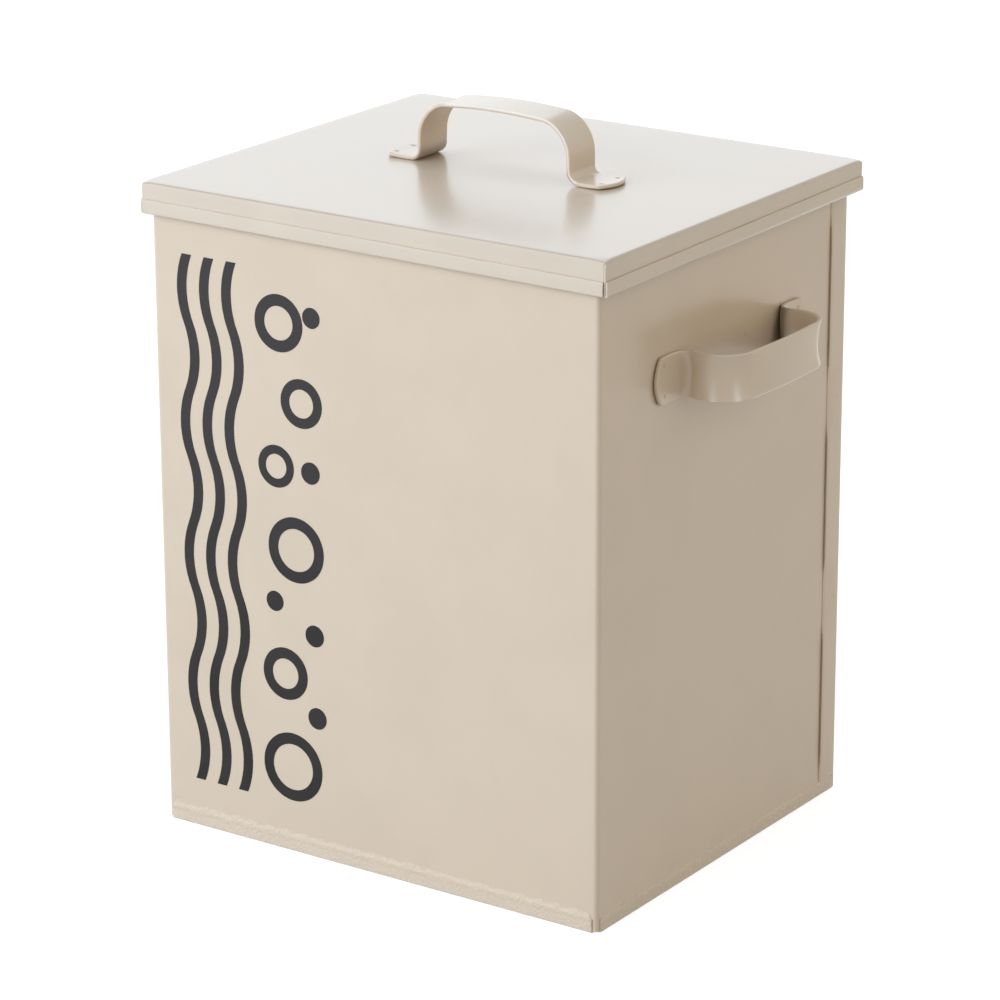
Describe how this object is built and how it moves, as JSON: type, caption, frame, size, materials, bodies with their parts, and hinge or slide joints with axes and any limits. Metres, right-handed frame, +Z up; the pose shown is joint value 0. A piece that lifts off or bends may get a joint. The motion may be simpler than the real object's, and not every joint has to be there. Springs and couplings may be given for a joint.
{
  "type": "detergent storage box",
  "caption": "Upright box of folded, powder-coated sheet steel for washing powder, with strap handles on its sides and a lift-off lid with a strap handle.",
  "frame": {"origin": "middle of the underside, on the surface that the box stands on", "axes": "+Z up, the printed front wall faces -Y, the side handles are at +X and -X"},
  "size_m": [0.244, 0.1756, 0.2745],
  "materials": {
    "coated_steel": "satin powder coat, warm greige, with a faint orange-peel texture",
    "print_ink": "matt charcoal screen print"
  },
  "bodies": {
    "box": {"body_wrap": "coated_steel", "back_panel": "coated_steel", "base_pan": "coated_steel", "side_handle_right": "coated_steel", "side_handle_left": "coated_steel", "front_print": "print_ink"},
    "lid": {"lid": "coated_steel", "lid_handle": "coated_steel"}
  },
  "joints": [
    {"name": "lid_lift", "type": "slide", "parent": "box", "child": "lid", "axis": [0, 0, 1], "range_m": [0, 0.12]}
  ]
}
